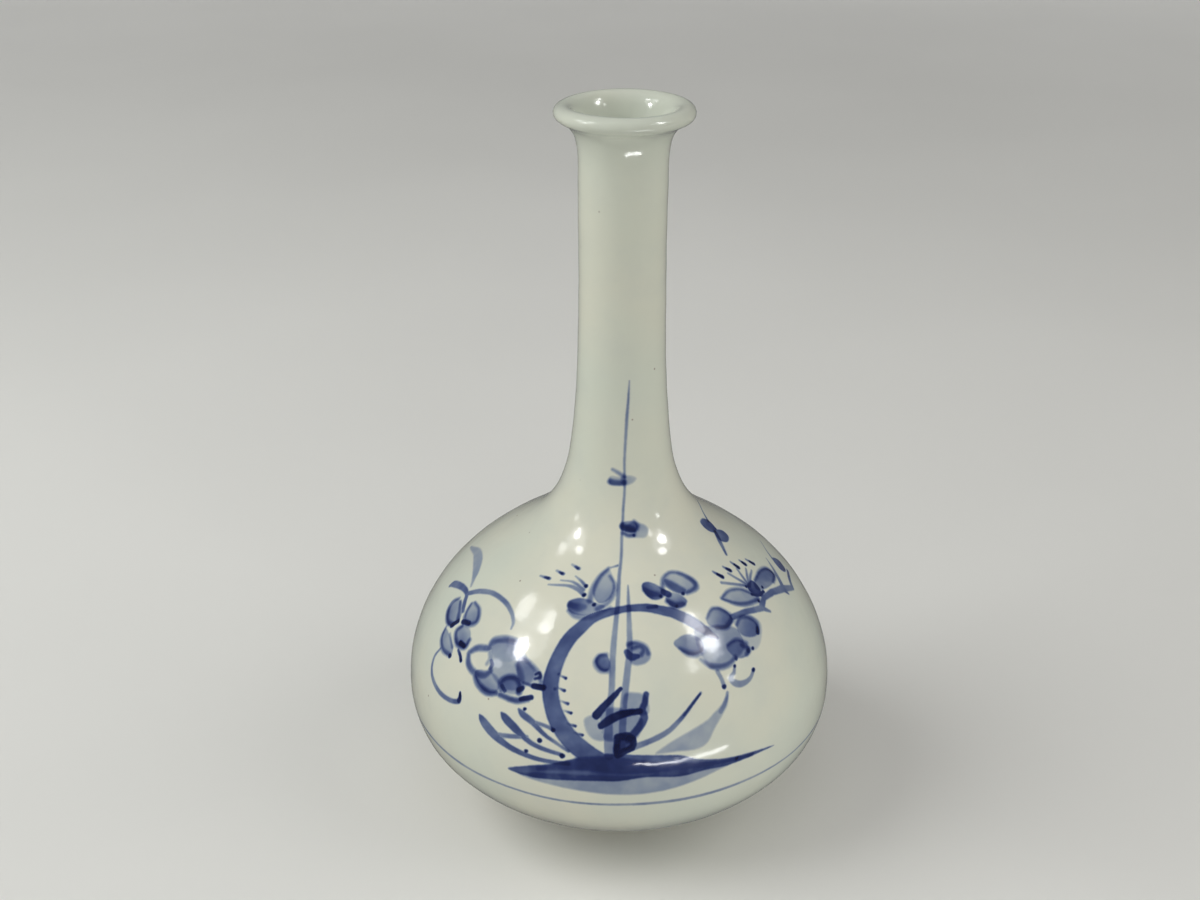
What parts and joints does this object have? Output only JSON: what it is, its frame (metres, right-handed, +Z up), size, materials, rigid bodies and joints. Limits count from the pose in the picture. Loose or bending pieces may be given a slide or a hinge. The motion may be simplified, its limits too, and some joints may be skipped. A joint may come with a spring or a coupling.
{
  "type": "sake bottle",
  "caption": "Long-necked porcelain sake bottle with a low wide belly, a rolled lip and a foot ring, painted in blue under a clear glaze.",
  "frame": {"origin": "centre of the foot ring, on the surface that the bottle stands on", "axes": "+Z up along the axis that the bottle is turned about; the painted front faces -Y"},
  "size_m": [0.1554, 0.1554, 0.2574],
  "materials": {
    "bare_porcelain": "matte",
    "porcelain": "matte",
    "luting_slip": "matte",
    "clear_glaze": "gloss"
  },
  "bodies": {
    "root": {"foot_ring": "bare_porcelain", "lower_body": "porcelain", "belly_luting": "luting_slip", "upper_body": "porcelain", "neck_luting": "luting_slip", "neck": "porcelain", "mouth_rim": "porcelain", "outer_glaze": "clear_glaze", "inner_glaze": "clear_glaze", "base_glaze": "clear_glaze"}
  },
  "joints": []
}
